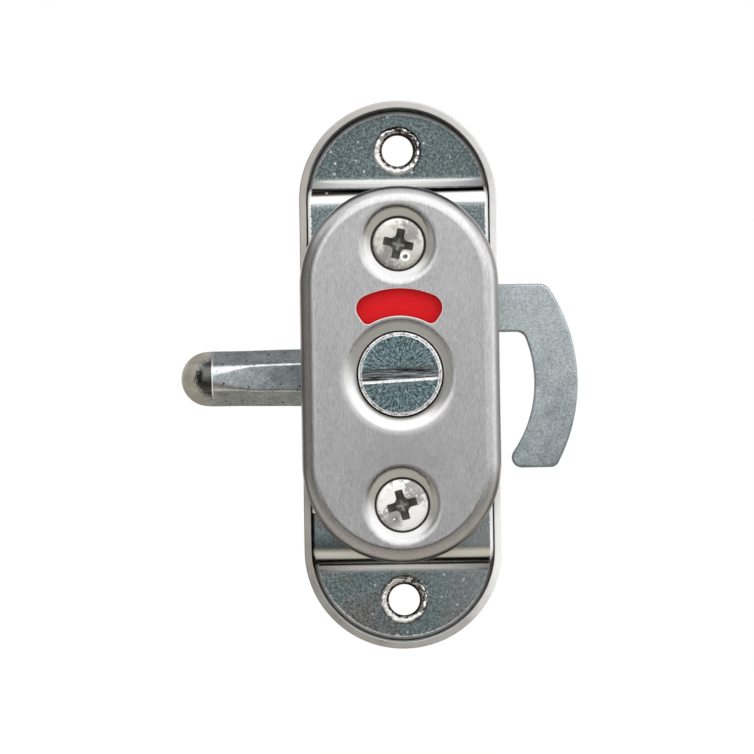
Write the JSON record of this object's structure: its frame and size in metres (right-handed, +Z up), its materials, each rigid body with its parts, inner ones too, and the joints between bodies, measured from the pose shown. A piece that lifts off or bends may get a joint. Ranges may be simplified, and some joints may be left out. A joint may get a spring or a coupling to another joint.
{
  "type": "sliding door latch with indicator",
  "caption": "Surface-mounted hook latch for a sliding door, with a bar lever, a coin-slot release spindle and a coloured indicator window.",
  "frame": {"origin": "on the spindle's axis, in the door-face plane where the exterior plate and the interior case meet", "axes": "+X towards the hook's side, +Z up along the case, +Y from the corridor side to the room side"},
  "size_m": [0.0585, 0.0238, 0.08],
  "materials": {
    "brushed_stainless": "vertical brushed grain",
    "case_stainless": "satin",
    "zinc_plated": "bright zinc plate with fine speckle",
    "hook_zinc": "matt zinc plate",
    "screw_nickel": "nickel plate",
    "spindle_zinc": "turned face, zinc plate",
    "cast_nickel": "plated casting, lightly pitted",
    "plain_steel": "plain",
    "spring_steel": "bright",
    "nylon": "natural nylon",
    "red_field": "red film",
    "white_field": "white film"
  },
  "bodies": {
    "case": {"case_cover": "case_stainless", "base_plate": "zinc_plated", "indicator_plate": "brushed_stainless", "plate_screws": "screw_nickel", "plate_nuts": "plain_steel", "rear_bush": "nylon", "front_bush": "nylon", "lever_washer": "nylon", "detent_spring": "spring_steel", "spring_post": "plain_steel", "stop_pin": "plain_steel"},
    "rotor": {"hub": "plain_steel", "hook": "hook_zinc", "hook_washer": "plain_steel", "lever": "cast_nickel", "lever_screw": "screw_nickel"},
    "release": {"release_spindle": "spindle_zinc", "indicator_disc": "plain_steel", "red_film": "red_field", "white_film": "white_field", "bowed_washer": "spring_steel", "spindle_clip": "spring_steel"}
  },
  "joints": [
    {"name": "lever_turn", "type": "hinge", "parent": "case", "child": "rotor", "pos_m": [0, 0, 0], "axis": [0, -1, 0], "range_deg": [0, 90], "deforming": ["detent_spring"]},
    {"name": "release_turn", "type": "hinge", "parent": "case", "child": "release", "pos_m": [0, 0, 0], "axis": [0, -1, 0], "range_deg": [0, 90]}
  ],
  "couplings": [
    {"joint": "release_turn", "follows": "lever_turn", "ratio": 1}
  ]
}
